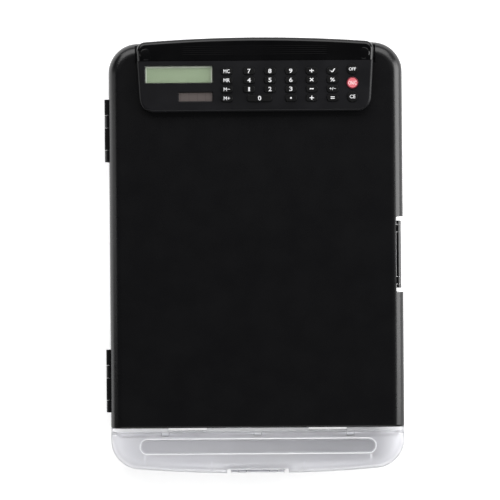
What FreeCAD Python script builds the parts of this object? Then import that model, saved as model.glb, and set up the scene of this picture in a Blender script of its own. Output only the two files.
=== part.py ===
import FreeCAD, Part
import math
import os
from collections import namedtuple

# A storage clipboard box: a flat case for letter paper whose lid is the writing board, with a sprung
# clip that carries a calculator, and a pen compartment under a lid of its own along the lower edge.
# Millimetres. The box lies on its back: +X to the writer's right, +Y towards the clip, +Z out of the
# writing surface. The origin is the centre of the back face, on the plane that the box rests on.

# Case outline: straight sides, gently bowed ends, round corners
case_width = 248.0
case_length = 368.0
bow_radius = 1250.0
corner_radius = 25.0
edge_radius = 10.0
bottom_edge_radius = 5.0
base_height = 16.0
parting_gap = 0.3
lid_height = 11.7
wall = 2.2
inner_edge_radius = 2.6
overrun = 1.0
near = 0.01

# Locating lip that stands up inside both lids
lip_gap = 0.3
lip_thickness = 1.2
lip_height = 1.5
lip_root = 2.5

# Split between the writing board and the pen section
pen_section_length = 39.0
board_end_radius = 1.6
ridge_gap = 0.4
ridge_thickness = 2.2
ridge_drop = 4.0
pen_wall_thickness = 2.3
pen_wall_drop = 5.5
slot_length = 33.0
slot_inner_x = 43.0
slot_recess = 0.2

# Hinge of the pen lid
barrel_radius = 2.4
barrel_gap = 0.2
lid_pin_radius = 1.0
lid_pin_length = 16.0
lid_lug_width = 6.0
lid_lug_radius = 2.2
lid_lug_spacing = 78.0
lug_gap = 0.35
pin_clearance = 0.05

# Pen groove and stiffening ribs of the pen lid
groove_length = 198.4
groove_width = 11.8
groove_depth = 2.2
groove_floor_radius = 1.8
groove_wall = 2.6
groove_centre_inset = 23.3
groove_rim_width = 1.0
groove_rim_height = 0.5
groove_rim_radius = 0.4
lid_rib_width = 1.2
lid_rib_height = 3.6
lid_rib_rise = 0.35
lid_rib_length = 8.6
lid_rib_inner_x = 39.0
lid_rib_inner_inset = 1.8
lid_rib_outer_x = 95.4
lid_rib_outer_inset = 7.3

# Side hinges of the writing board
upper_hinge_inset = 77.6
lower_hinge_inset = 78.9
hinge_offset = 0.5
knuckle_radius = 3.2
knuckle_gap = 0.3
knuckle_lengths = (13.0, 10.5, 18.5, 10.1)
knuckle_clearance = 0.35
hinge_pin_radius = 1.2
hinge_block_depth = 5.0
hinge_block_margin = 2.5
leaf_thickness = 1.4
leaf_gap = 0.1
leaf_bottom_z = 5.5
leaf_stud_radius = 1.6
leaf_stud_spacing = 32.0
leaf_stud_drop = 2.6

# Latches: each is a flap that hangs from a pin in a notch of the lid that it locks
main_notch_centre = 0.5
main_notch_length = 64.0
main_notch_depth = 6.2
main_flap_length = 56.7
main_flap_inset = 1.9
main_flap_thickness = 2.0
main_barrel_radius = 2.0
main_axis_drop = 5.4
main_lug_spacing = 44.0
pen_notch_centre = 0.0
pen_notch_length = 52.3
pen_notch_depth = 4.2
pen_flap_length = 46.0
pen_flap_inset = 0.7
pen_flap_thickness = 1.7
pen_barrel_radius = 1.5
pen_axis_drop = 6.5
pen_lug_spacing = 26.0
flap_bottom_z = 5.2
flap_corner_radius = 3.0
notch_corner_radius = 1.8
facet_tilt = 32.0
facet_depth = 0.3
latch_lug_width = 6.0
latch_pin_radius = 0.8
latch_lug_clearance = 0.5
latch_lug_relief = 0.1
catch_length = 16.0
catch_height = 1.6
catch_bottom_z = 7.0
catch_gap = 0.25

# Clip: a black lever under and behind a charcoal calculator
clip_length = 62.7
clip_half_back = 100.2
clip_side_taper = 3.4
clip_corner_radius = 12.0
clip_back_radius = 7.5
clip_gap = 1.5
lever_plate_thickness = 1.7
lever_height = 7.0
lever_edge_radius = 3.4
lever_wall = 2.0
seam_inset = 19.6
seam_gap = 0.3
grip_rib_count = 5
grip_rib_pitch = 1.7
grip_rib_radius = 0.3
grip_rib_height = 0.2
grip_rib_length = 122.0
grip_rib_inset = 7.6

# Clip pivot in the recess of the writing board
axle_inset = 13.0
axle_height = 3.0
axle_radius = 1.5
axle_length = 158.0
ear_width = 4.0
ear_spacing = 144.0
ear_radius = 3.0
ear_gap = 0.3
cheek_width = 3.0
cheek_half_length = 3.6
cheek_drop = 1.7
recess_depth = 4.0
recess_side_gap = 1.2
recess_front_inset = 21.5
spring_spacing = 108.0
spring_length = 9.0
spring_radius = 2.6
spring_bore_radius = 1.7
spring_wire = 1.0
spring_leg_reach = 8.5
spring_seat_gap = 0.1

# Calculator
calc_wall = 1.6
calc_face_thickness = 1.6
calc_height = 5.8
calc_edge_radius = 2.4
display_width = 13.8
display_side_inset = 8.0
display_key_gap = 7.4
display_end_inset = 31.1
window_margin = 1.4
window_thickness = 0.8
panel_thickness = 1.5
solar_share = 0.5
solar_width = 7.2
solar_end_inset = 50.1
solar_margin = 1.0
solar_thickness = 0.9
opening_bevel = 0.8
layer_gap = 0.1
board_sheet_thickness = 1.0
board_front_inset = 8.2
board_side_inset = 4.2
mat_thickness = 0.7
dome_height = 0.65
dome_radius = 1.9
cell_radius = 5.8
cell_thickness = 2.0
cell_side_inset = 23.0
cell_end_inset = 45.6
screw_end_inset = 57.6
screw_side_inset = 16.0
screw_inner_x = 30.0
screw_radius = 0.8
screw_length = 4.6
screw_head_radius = 1.6
screw_head_height = 1.0
boss_radius = 2.0
jaw_front_inset = 0.9
jaw_width = 2.3
jaw_side_inset = 13.6
jaw_clearance = 0.3

# Keys
key_length = 9.6
key_width = 5.7
key_corner_radius = 2.2
key_top_radius = 0.35
key_rise = 1.1
key_clearance = 0.25
key_flange = 0.6
key_flange_thickness = 0.7
zero_key_length = 20.8
round_key_radius = 4.45
on_key_radius = 4.9
key_column_pitch = 17.55
memory_column_gap = 18.8
round_column_gap = 16.7
round_column_inset = 18.5
key_row_inset = 28.7
key_row_pitch = 7.6
round_row_inset = 27.5
round_row_pitch = 11.6

# Places that follow from the sizes above
half_width = case_width / 2
half_length = case_length / 2
lid_bottom_z = base_height + parting_gap
top_z = lid_bottom_z + lid_height
board_end_y = pen_section_length - half_length
ridge_y = board_end_y - ridge_gap
pen_wall_y = ridge_y - ridge_thickness
pen_room_y = pen_wall_y - pen_wall_thickness
paper_wall_y = ridge_y + wall
lid_axis_y = pen_wall_y - barrel_gap - barrel_radius
lid_axis_z = top_z - barrel_radius
hinge_x = -half_width - hinge_offset
hinge_z = base_height + parting_gap / 2
hinge_length = sum(knuckle_lengths) + knuckle_gap * (len(knuckle_lengths) - 1)
seam_y = half_length - seam_inset
axle_y = half_length - axle_inset
deck_z = top_z - recess_depth
lever_z = top_z + clip_gap
plate_top_z = lever_z + lever_plate_thickness
axle_z = top_z + axle_height
lever_top_z = lever_z + lever_height
calc_top_z = plate_top_z + calc_height
face_under_z = calc_top_z - calc_face_thickness
recess_y = half_length - recess_front_inset
upper_hinge_y = half_length - upper_hinge_inset
lower_hinge_y = lower_hinge_inset - half_length
clip_front_y = half_length - clip_length
clip_half_front = clip_half_back - clip_side_taper
round_column_x = clip_half_back - round_column_inset
key_column_x = round_column_x - round_column_gap - key_column_pitch * 4
key_row_y = half_length - key_row_inset
round_row_y = half_length - round_row_inset
display_start_x = display_side_inset - clip_half_back
display_end_x = key_column_x - memory_column_gap - key_length / 2 - display_key_gap
display_length = display_end_x - display_start_x
display_centre_x = (display_start_x + display_end_x) / 2
display_centre_y = half_length - display_end_inset
solar_length = display_length * solar_share
solar_centre_x = display_end_x - solar_length / 2
solar_centre_y = half_length - solar_end_inset
cell_x = cell_side_inset - clip_half_back
cell_y = half_length - cell_end_inset
screw_outer_x = clip_half_back - screw_side_inset
screw_y = half_length - screw_end_inset
jaw_half_length = clip_half_front - jaw_side_inset

Latch = namedtuple(
    "Latch",
    "reach centre notch_length notch_depth flap_length flap_inset thickness barrel axis_drop lug_spacing",
)
main_latch_sizes = Latch(
    half_width, main_notch_centre, main_notch_length, main_notch_depth, main_flap_length,
    main_flap_inset, main_flap_thickness, main_barrel_radius, main_axis_drop, main_lug_spacing,
)
pen_latch_sizes = Latch(
    half_length, pen_notch_centre, pen_notch_length, pen_notch_depth, pen_flap_length,
    pen_flap_inset, pen_flap_thickness, pen_barrel_radius, pen_axis_drop, pen_lug_spacing,
)
Key = namedtuple("Key", "name x y length width corner")


def box(x0, x1, y0, y1, z0, z1):
    """A block between three pairs of planes."""
    return Part.makeBox(x1 - x0, y1 - y0, z1 - z0, FreeCAD.Vector(x0, y0, z0))


def rod_x(radius, x0, x1, y, z):
    return Part.makeCylinder(radius, x1 - x0, FreeCAD.Vector(x0, y, z), FreeCAD.Vector(1, 0, 0))


def rod_y(radius, y0, y1, x, z):
    return Part.makeCylinder(radius, y1 - y0, FreeCAD.Vector(x, y0, z), FreeCAD.Vector(0, 1, 0))


def rod_z(radius, z0, z1, x, y):
    return Part.makeCylinder(radius, z1 - z0, FreeCAD.Vector(x, y, z0), FreeCAD.Vector(0, 0, 1))


def is_upright(edge):
    """True for an edge that runs straight up."""
    ends = edge.Vertexes
    if len(ends) < 2:
        return False
    a = ends[0].Point
    b = ends[1].Point
    return math.hypot(a.x - b.x, a.y - b.y) < near


def lies_at(edge, axis, place):
    """True for an edge that lies wholly in the plane where the named coordinate has that value."""
    span = edge.BoundBox
    low = getattr(span, axis + "Min")
    high = getattr(span, axis + "Max")
    return abs(low - place) < near and abs(high - place) < near


def fillet(shape, radius, chosen):
    """The shape with the edges that pass the test rounded."""
    edges = [edge for edge in shape.Edges if chosen(edge)]
    return shape.makeFillet(radius, edges)


def rounded_plate(x, y, length, width, corner, z0, z1):
    """A plate with round corners."""
    plate = box(x - length / 2, x + length / 2, y - width / 2, y + width / 2, z0, z1)
    return fillet(plate, corner, is_upright)


def bow_y(x, inset):
    """Height of the bowed end at a distance from the centre line, moved in by the inset."""
    radius = bow_radius - inset
    return half_length - bow_radius + math.sqrt(radius * radius - x * x)


def prism(edges, z0, z1):
    face = Part.Face(Part.Wire(edges))
    face.translate(FreeCAD.Vector(0, 0, z0))
    return face.extrude(FreeCAD.Vector(0, 0, z1 - z0))


def case_block(inset, z0, z1):
    """The case outline moved in by the inset, as a block."""
    x = half_width - inset
    y = bow_y(x, inset)
    tip = half_length - inset
    a = FreeCAD.Vector(-x, -y, 0)
    b = FreeCAD.Vector(-x, y, 0)
    c = FreeCAD.Vector(x, y, 0)
    d = FreeCAD.Vector(x, -y, 0)
    edges = [
        Part.LineSegment(a, b).toShape(),
        Part.Arc(b, FreeCAD.Vector(0, tip, 0), c).toShape(),
        Part.LineSegment(c, d).toShape(),
        Part.Arc(d, FreeCAD.Vector(0, -tip, 0), a).toShape(),
    ]
    return fillet(prism(edges, z0, z1), corner_radius - inset, is_upright)


def upper_block(inset, z0):
    """The upper half of the case with its wide round edge, moved in by the inset."""
    z1 = top_z - inset
    block = case_block(inset, z0, z1)
    return fillet(block, edge_radius - inset, lambda edge: lies_at(edge, "Z", z1))


def lower_block():
    block = case_block(0, 0, base_height)
    return fillet(block, bottom_edge_radius, lambda edge: lies_at(edge, "Z", 0))


def room(inset, z0, z1):
    """A hollow of the case outline with a soft lower edge."""
    return fillet(case_block(inset, z0, z1), inner_edge_radius, lambda edge: lies_at(edge, "Z", z0))


def above_y(y):
    """Everything on the clip's side of a crosswise plane."""
    return box(-case_width, case_width, y, case_length, -case_width, case_width)


def below_y(y):
    return box(-case_width, case_width, -case_length, y, -case_width, case_width)


def lip_ring(kept):
    """Locating lip of one compartment, with the root that joins it to the wall."""
    z0 = base_height - lip_root
    z1 = base_height + parting_gap + lip_height
    outer = wall + lip_gap
    inner = outer + lip_thickness
    root = case_block(wall - lip_gap, z0, base_height)
    stem = case_block(outer, z0, z1)
    space = case_block(inner, z0 - overrun, z1 + overrun)
    kept_ring = kept(outer)
    kept_space = kept(inner)
    ring = root.common(kept(wall - lip_gap)).fuse(stem.common(kept_ring))
    return ring.cut(space.common(kept_space))


def paper_lip():
    return lip_ring(lambda inset: above_y(board_end_y + inset))


def pen_lip():
    """Lip of the pen compartment, which stops short of the lid's hinge."""
    end = lid_axis_y - barrel_radius - lip_gap
    return lip_ring(lambda inset: below_y(lid_axis_y)).common(below_y(end))


# Latches


def across_end(shape):
    """Turns a shape made for the right side to the lower end."""
    return shape.rotated(FreeCAD.Vector(0, 0, 0), FreeCAD.Vector(0, 0, 1), -90)


def latch_axis_x(latch):
    return latch.reach - latch.flap_inset - latch.barrel


def latch_lug_places(latch):
    return [latch.centre + side * latch.lug_spacing / 2 for side in (-1, 1)]


def latch_notch(latch):
    wall_x = latch.reach - latch.notch_depth
    y0 = latch.centre - latch.notch_length / 2
    y1 = latch.centre + latch.notch_length / 2
    notch = box(wall_x, latch.reach + overrun, y0, y1, -overrun, top_z + overrun)
    return fillet(notch, notch_corner_radius, lambda edge: is_upright(edge) and lies_at(edge, "X", wall_x))


def latch_backing(latch, z0, z1):
    """Material behind and beside the notch."""
    x0 = latch.reach - latch.notch_depth - wall
    half = latch.notch_length / 2 + wall
    return box(x0, latch.reach, latch.centre - half, latch.centre + half, z0, z1)


def faceted_rod(latch, radius, y0, y1):
    """A rod round the latch pin with a flat along its outer upper side."""
    x = latch_axis_x(latch)
    z = top_z - latch.axis_drop
    flat_z = z + radius - facet_depth
    above = box(x - latch.reach, x + latch.reach, y0, y1, flat_z, flat_z + latch.reach)
    axis = FreeCAD.Vector(0, 1, 0)
    return rod_y(radius, y0, y1, x, z).cut(above.rotated(FreeCAD.Vector(x, 0, z), axis, facet_tilt))


def latch_lugs(latch):
    """Two lugs on the notch wall that hold the latch pin."""
    x = latch_axis_x(latch)
    z = top_z - latch.axis_drop
    radius = latch.barrel - latch_lug_relief
    root_x = latch.reach - latch.notch_depth - wall / 2
    lugs = []
    for y in latch_lug_places(latch):
        y0 = y - latch_lug_width / 2
        y1 = y + latch_lug_width / 2
        neck = box(root_x, x, y0, y1, z - radius, z + radius * math.cos(math.radians(facet_tilt)))
        lugs.append(faceted_rod(latch, radius, y0, y1).fuse(neck))
    return lugs


def latch_bore(latch):
    half = latch.flap_length / 2
    radius = latch_pin_radius + pin_clearance
    z = top_z - latch.axis_drop
    return rod_y(radius, latch.centre - half, latch.centre + half, latch_axis_x(latch), z)


def latch_catch(latch):
    """Rib on the base that the closed flap snaps over."""
    wall_x = latch.reach - latch.notch_depth
    flap_x = latch.reach - latch.flap_inset - latch.thickness
    y0 = latch.centre - catch_length / 2
    z1 = catch_bottom_z + catch_height
    return box(wall_x - wall / 2, flap_x - catch_gap, y0, y0 + catch_length, catch_bottom_z, z1)


def latch_flap(latch):
    """The flap: a barrel on the pin and a plate that hangs down over the base."""
    x = latch_axis_x(latch)
    z = top_z - latch.axis_drop
    y0 = latch.centre - latch.flap_length / 2
    y1 = latch.centre + latch.flap_length / 2
    face_x = latch.reach - latch.flap_inset
    plate = box(face_x - latch.thickness, face_x, y0, y1, flap_bottom_z, z)
    plate = fillet(
        plate, flap_corner_radius, lambda edge: lies_at(edge, "Z", flap_bottom_z) and (
            lies_at(edge, "Y", y0) or lies_at(edge, "Y", y1))
    )
    flap = plate.fuse(faceted_rod(latch, latch.barrel, y0, y1))
    for y in latch_lug_places(latch):
        half = latch_lug_width / 2 + lug_gap
        z0 = z - latch.barrel - latch_lug_clearance
        flap = flap.cut(box(x - latch.reach, latch.reach, y - half, y + half, z0, top_z))
    return flap.cut(latch_bore(latch))


def latch_pin(latch):
    half = latch.flap_length / 2 - overrun
    z = top_z - latch.axis_drop
    return rod_y(latch_pin_radius, latch.centre - half, latch.centre + half, latch_axis_x(latch), z)


# Side hinges


def knuckle_spans(hinge_y):
    """Start and end of each knuckle, from the upper one down."""
    spans = []
    y = hinge_y + hinge_length / 2
    for length in knuckle_lengths:
        spans.append((y - length, y))
        y -= length + knuckle_gap
    return spans


def hinge_clearance(hinge_y):
    half = hinge_length / 2 + knuckle_gap
    return rod_y(knuckle_radius + knuckle_clearance, hinge_y - half, hinge_y + half, hinge_x, hinge_z)


def hinge_block(hinge_y, z0, z1):
    """Thick stretch of side wall beside a hinge."""
    half = hinge_length / 2 + hinge_block_margin
    return box(-half_width, hinge_block_depth - half_width, hinge_y - half, hinge_y + half, z0, z1)


def hinge_bore(hinge_y):
    half = hinge_length / 2 + overrun
    return rod_y(hinge_pin_radius + pin_clearance, hinge_y - half, hinge_y + half, hinge_x, hinge_z)


def hinge_pin(hinge_y):
    half = hinge_length / 2
    return rod_y(hinge_pin_radius, hinge_y - half, hinge_y + half, hinge_x, hinge_z)


def board_knuckles(hinge_y):
    """Knuckles moulded on the writing board: the second and the fourth."""
    knuckles = []
    for y0, y1 in knuckle_spans(hinge_y)[1::2]:
        x1 = hinge_block_depth - half_width
        web = box(hinge_x, x1, y0, y1, lid_bottom_z, hinge_z + knuckle_radius)
        knuckles.append(rod_y(knuckle_radius, y0, y1, hinge_x, hinge_z).fuse(web))
    return knuckles


def leaf_stud_places(hinge_y):
    return [hinge_y + side * leaf_stud_spacing / 2 for side in (-1, 1)]


def leaf_stud_z():
    return hinge_z - knuckle_radius - leaf_stud_drop


def leaf_studs(hinge_y, radius):
    x0 = -half_width - leaf_gap - leaf_thickness / 2
    x1 = hinge_block_depth - half_width
    return [rod_x(radius, x0, x1, y, leaf_stud_z()) for y in leaf_stud_places(hinge_y)]


def hinge_leaf(hinge_y):
    """Leaf of a side hinge: a plate on the base with the first and the third knuckle."""
    x0 = -half_width - leaf_gap - leaf_thickness
    x1 = -half_width - leaf_gap
    y0 = hinge_y - hinge_length / 2
    y1 = hinge_y + hinge_length / 2
    top = hinge_z - knuckle_radius - knuckle_clearance
    leaf = box(x0, x1, y0, y1, leaf_bottom_z, top)
    pieces = leaf_studs(hinge_y, leaf_stud_radius)
    for y0, y1 in knuckle_spans(hinge_y)[0::2]:
        pieces.append(box(x0, x1, y0, y1, leaf_bottom_z, hinge_z))
        pieces.append(rod_y(knuckle_radius, y0, y1, hinge_x, hinge_z))
    return leaf.fuse(pieces).removeSplitter().cut(hinge_bore(hinge_y))


hinge_places = (upper_hinge_y, lower_hinge_y)


# Pen section hinge


def lid_lug_places():
    return [side * lid_lug_spacing for side in (-1, 0, 1)]


def lid_lugs():
    """Lugs on the base that carry the pins of the pen lid."""
    lugs = []
    for x in lid_lug_places():
        x0 = x - lid_lug_width / 2
        x1 = x + lid_lug_width / 2
        neck = box(x0, x1, lid_axis_y, ridge_y, top_z - pen_wall_drop, lid_axis_z)
        lug = rod_x(lid_lug_radius, x0, x1, lid_axis_y, lid_axis_z).fuse(neck)
        lugs.append(lug.cut(rod_x(lid_pin_radius + pin_clearance, x0, x1, lid_axis_y, lid_axis_z)))
    return lugs


def lid_pins():
    half = lid_pin_length / 2
    pins = [rod_x(lid_pin_radius, x - half, x + half, lid_axis_y, lid_axis_z) for x in lid_lug_places()]
    return Part.makeCompound(pins)


# Base


def base_divider():
    """Wall between paper and pens, and the ridge that shows between the two lids."""
    full = case_block(0, 0, base_height).fuse(upper_block(0, base_height))
    ridge = box(-half_width, half_width, pen_wall_y, ridge_y, base_height, top_z - ridge_drop)
    wall_block = box(-half_width, half_width, pen_room_y, pen_wall_y, base_height, top_z - pen_wall_drop)
    return full.common(ridge.fuse(wall_block))


def base_slots():
    """Two long openings through the divider between the hinge lugs."""
    slots = []
    for side in (-1, 1):
        centre = side * (slot_inner_x + slot_length / 2)
        x0 = centre - slot_length / 2
        slots.append(box(x0, x0 + slot_length, pen_wall_y - slot_recess, ridge_y, -overrun, top_z))
    return slots


def base_tray():
    """Lower shell: the paper compartment and the pen compartment with their lips."""
    outer = lower_block()
    paper = room(wall, wall, top_z).common(above_y(paper_wall_y))
    pens = room(wall, wall, top_z).common(below_y(pen_room_y))
    tray = outer.cut([paper, pens])
    backing = [latch_backing(main_latch_sizes, 0, base_height)]
    backing.append(across_end(latch_backing(pen_latch_sizes, 0, base_height)))
    backing += [hinge_block(y, 0, base_height) for y in hinge_places]
    tray = tray.fuse([outer.common(block) for block in backing])
    lips = paper_lip().fuse(pen_lip())
    keep_out = [latch_backing(main_latch_sizes, 0, top_z)]
    keep_out.append(across_end(latch_backing(pen_latch_sizes, 0, top_z)))
    keep_out += [hinge_block(y, 0, top_z) for y in hinge_places]
    tray = tray.fuse([lips.cut([grown(block) for block in keep_out]), base_divider()])
    cuts = [latch_notch(main_latch_sizes), across_end(latch_notch(pen_latch_sizes))]
    cuts += [hinge_clearance(y) for y in hinge_places]
    for y in hinge_places:
        cuts += leaf_studs(y, leaf_stud_radius + leaf_gap)
    tray = tray.cut(cuts + base_slots())
    added = [latch_catch(main_latch_sizes), across_end(latch_catch(pen_latch_sizes))]
    return tray.fuse(added + lid_lugs()).removeSplitter()


def grown(block):
    """A block made larger by the lip's gap on every side."""
    span = block.BoundBox
    low = (span.XMin - lip_gap, span.YMin - lip_gap, span.ZMin - lip_gap)
    high = (span.XMax + lip_gap, span.YMax + lip_gap, span.ZMax + lip_gap)
    return box(low[0], high[0], low[1], high[1], low[2], high[2])


# Writing board


def clip_recess():
    half = clip_half_back + recess_side_gap
    return box(-half, half, recess_y, case_length, deck_z, top_z + overrun)


def clip_deck():
    """Floor and walls under the recess for the press bar."""
    half = clip_half_back + recess_side_gap + wall
    return box(-half, half, recess_y - wall, case_length, deck_z - wall, top_z)


def ear_places():
    return [side * ear_spacing / 2 for side in (-1, 1)]


def clip_ears():
    """Ears on the recess floor that carry the axle of the clip."""
    ears = []
    for x in ear_places():
        x0 = x - ear_width / 2
        x1 = x + ear_width / 2
        post = box(x0, x1, axle_y - ear_radius, axle_y + ear_radius, deck_z - wall / 2, axle_z)
        ears.append(post.fuse(rod_x(ear_radius, x0, x1, axle_y, axle_z)))
    return ears


def axle_bore():
    return rod_x(axle_radius + pin_clearance, -clip_half_back, clip_half_back, axle_y, axle_z)


def front_cover():
    """Upper shell over the paper compartment: the writing board with its side walls."""
    outer = upper_block(0, lid_bottom_z).common(above_y(board_end_y))
    outer = fillet(
        outer, board_end_radius,
        lambda edge: lies_at(edge, "Y", board_end_y) and not lies_at(edge, "Z", lid_bottom_z)
    )
    hollow = upper_block(wall, lid_bottom_z - overrun).common(above_y(board_end_y + wall))
    backing = [clip_deck(), latch_backing(main_latch_sizes, lid_bottom_z, top_z)]
    backing += [hinge_block(y, lid_bottom_z, top_z) for y in hinge_places]
    cover = outer.cut(hollow).fuse([outer.common(block) for block in backing])
    clearances = [hinge_clearance(y) for y in hinge_places]
    cover = cover.cut([clip_recess(), latch_notch(main_latch_sizes)] + clearances)
    added = clip_ears() + latch_lugs(main_latch_sizes)
    for y in hinge_places:
        added += board_knuckles(y)
    bores = [axle_bore(), latch_bore(main_latch_sizes)] + [hinge_bore(y) for y in hinge_places]
    return cover.fuse(added).removeSplitter().cut(bores)


# Pen lid


def groove(margin, z0, z1):
    """The pen groove's outline with round ends, grown by the margin."""
    y = groove_centre_inset - half_length
    radius = groove_width / 2 + margin
    x = (groove_length - groove_width) / 2
    a = FreeCAD.Vector(-x, y - radius, 0)
    b = FreeCAD.Vector(x, y - radius, 0)
    c = FreeCAD.Vector(x, y + radius, 0)
    d = FreeCAD.Vector(-x, y + radius, 0)
    edges = [
        Part.LineSegment(a, b).toShape(),
        Part.Arc(b, FreeCAD.Vector(x + radius, y, 0), c).toShape(),
        Part.LineSegment(c, d).toShape(),
        Part.Arc(d, FreeCAD.Vector(-x - radius, y, 0), a).toShape(),
    ]
    return prism(edges, z0, z1)


def groove_rim():
    """Raised rim round the pen groove, with soft edges."""
    z0 = top_z - wall / 2
    z1 = top_z + groove_rim_height
    rim = groove(groove_rim_width, z0, z1).cut(groove(0, z0 - overrun, z1 + overrun))
    return fillet(rim, groove_rim_radius, lambda edge: lies_at(edge, "Z", z1))


def lid_rib_places():
    """Where each rib lies across the lid, with its distance from the lower end."""
    pairs = [(lid_rib_inner_x, lid_rib_inner_inset), (lid_rib_outer_x, lid_rib_outer_inset)]
    return [(side * x, inset) for side in (-1, 1) for x, inset in pairs]


def lid_ribs():
    """Short stiffening ribs through the front of the pen lid, a little proud all along its surface."""
    ribs = []
    skin = upper_block(-lid_rib_rise, lid_bottom_z)
    for x, inset in lid_rib_places():
        x0 = x - lid_rib_width / 2
        y0 = inset - half_length
        z0 = top_z - wall / 2 - lid_rib_height
        rib = box(x0, x0 + lid_rib_width, y0, y0 + lid_rib_length, z0, top_z + lid_rib_rise)
        ribs.append(rib.common(skin))
    return ribs


def pen_lid():
    """Lid of the pen compartment with its pen groove and rolled hinge edge."""
    block = upper_block(0, lid_bottom_z)
    hollow = upper_block(wall, lid_bottom_z - overrun)
    barrel = rod_x(barrel_radius, -half_width, half_width, lid_axis_y, lid_axis_z)
    lid = block.common(below_y(lid_axis_y).fuse(barrel)).cut(hollow)
    floor_z = top_z - groove_depth
    trough = fillet(
        groove(0, floor_z, top_z + overrun), groove_floor_radius, lambda edge: lies_at(edge, "Z", floor_z)
    )
    pan = groove(groove_wall, floor_z - wall, top_z - wall / 2)
    backing = across_end(latch_backing(pen_latch_sizes, lid_bottom_z, top_z))
    lid = lid.fuse([block.common(barrel), pan, block.common(backing)] + lid_ribs()).cut(trough)
    cuts = [across_end(latch_notch(pen_latch_sizes))]
    cuts.append(rod_x(lid_pin_radius + pin_clearance, -case_width, case_width, lid_axis_y, lid_axis_z))
    for x in lid_lug_places():
        half = lid_lug_width / 2 + lug_gap
        y0 = lid_axis_y - barrel_radius - lug_gap
        cuts.append(box(x - half, x + half, y0, ridge_y, lid_bottom_z, top_z + overrun))
    lugs = [across_end(lug) for lug in latch_lugs(pen_latch_sizes)]
    lid = lid.cut(cuts).fuse([groove_rim()] + lugs)
    return lid.removeSplitter().cut(across_end(latch_bore(pen_latch_sizes)))


# Clip


def clip_half(y):
    """Half width of the clip at a place along its tapering sides."""
    share = (y - clip_front_y) / (half_length - clip_front_y)
    return clip_half_front + (clip_half_back - clip_half_front) * share


def clip_block(inset, z0, z1):
    """The clip's outline moved in by the inset, as a block with a bowed back."""
    y0 = clip_front_y + inset
    x0 = clip_half(y0) - inset
    x1 = clip_half(half_length) - inset
    y1 = bow_y(x1, inset)
    a = FreeCAD.Vector(-x0, y0, 0)
    b = FreeCAD.Vector(-x1, y1, 0)
    c = FreeCAD.Vector(x1, y1, 0)
    d = FreeCAD.Vector(x0, y0, 0)
    edges = [
        Part.LineSegment(a, b).toShape(),
        Part.Arc(b, FreeCAD.Vector(0, half_length - inset, 0), c).toShape(),
        Part.LineSegment(c, d).toShape(),
        Part.LineSegment(d, a).toShape(),
    ]
    block = prism(edges, z0, z1)
    middle = (y0 + y1) / 2
    block = fillet(
        block, clip_corner_radius - inset, lambda edge: is_upright(edge) and edge.BoundBox.YMax < middle
    )
    return fillet(
        block, clip_back_radius - inset, lambda edge: is_upright(edge) and edge.BoundBox.YMax > y1 - near
    )


def cheek_places():
    """Start of each cheek, one on either side of each ear."""
    step = ear_width / 2 + ear_gap
    places = []
    for x in ear_places():
        places.append(x - step - cheek_width)
        places.append(x + step)
    return places


def lever_cheeks():
    """Cheeks inside the press bar that run on the axle beside the ears."""
    z0 = axle_z - axle_radius - cheek_drop
    z1 = lever_top_z - lever_wall / 2
    y0 = seam_y
    y1 = axle_y + cheek_half_length
    return [box(x, x + cheek_width, y0, y1, z0, z1) for x in cheek_places()]


def grip_ribs():
    """Fine round ribs on the press bar for the thumb."""
    x = grip_rib_length / 2
    z = lever_top_z + grip_rib_height - grip_rib_radius
    y = half_length - grip_rib_inset
    return [rod_x(grip_rib_radius, -x, x, y - count * grip_rib_pitch, z) for count in range(grip_rib_count)]


def screw_places():
    return [side * x for side in (-1, 1) for x in (screw_inner_x, screw_outer_x)]


def clip_lever():
    """Lever of the clip: a plate under the calculator and a press bar behind it."""
    plate = clip_block(0, lever_z, plate_top_z).common(below_y(seam_y + lever_wall / 2))
    bar = clip_block(0, lever_z, lever_top_z).common(above_y(seam_y))
    bar = fillet(
        bar, lever_edge_radius,
        lambda edge: lies_at(edge, "Z", lever_top_z) and not lies_at(edge, "Y", seam_y)
    )
    hollow = clip_block(lever_wall, lever_z - overrun, lever_top_z - lever_wall)
    hollow = hollow.common(above_y(seam_y + lever_wall))
    lever = bar.cut(hollow).fuse([plate] + lever_cheeks() + grip_ribs()).removeSplitter()
    cuts = [axle_bore()]
    for x in screw_places():
        head_z = lever_z + screw_head_height
        cuts.append(rod_z(screw_radius + pin_clearance, lever_z, plate_top_z, x, screw_y))
        cuts.append(rod_z(screw_head_radius + pin_clearance, lever_z, head_z, x, screw_y))
    return lever.cut(cuts)


def clip_axle():
    half = axle_length / 2
    return rod_x(axle_radius, -half, half, axle_y, axle_z)


def clip_spring(x):
    """Torsion spring: a coil round the axle, one leg on the recess floor, one under the press bar."""
    x0 = x - spring_length / 2
    x1 = x + spring_length / 2
    coil = rod_x(spring_radius, x0, x1, axle_y, axle_z)
    roof_z = lever_top_z - lever_wall - spring_seat_gap - spring_wire
    legs = [
        spring_leg(x0, axle_z - spring_radius, deck_z + spring_seat_gap),
        spring_leg(x1 - spring_wire, axle_z + spring_radius - spring_wire, roof_z),
    ]
    return coil.fuse(legs).cut(rod_x(spring_bore_radius, x0 - overrun, x1 + overrun, axle_y, axle_z))


def spring_leg(x0, start_z, end_z):
    """A leg of square wire from the coil to the place that it presses on."""
    y1 = axle_y + spring_leg_reach
    corners = [
        FreeCAD.Vector(x0, axle_y, start_z),
        FreeCAD.Vector(x0, axle_y, start_z + spring_wire),
        FreeCAD.Vector(x0, y1, end_z + spring_wire),
        FreeCAD.Vector(x0, y1, end_z),
    ]
    face = Part.Face(Part.makePolygon(corners + corners[:1]))
    return face.extrude(FreeCAD.Vector(spring_wire, 0, 0))


def clip_springs():
    return Part.makeCompound([clip_spring(side * spring_spacing / 2) for side in (-1, 1)])


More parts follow.
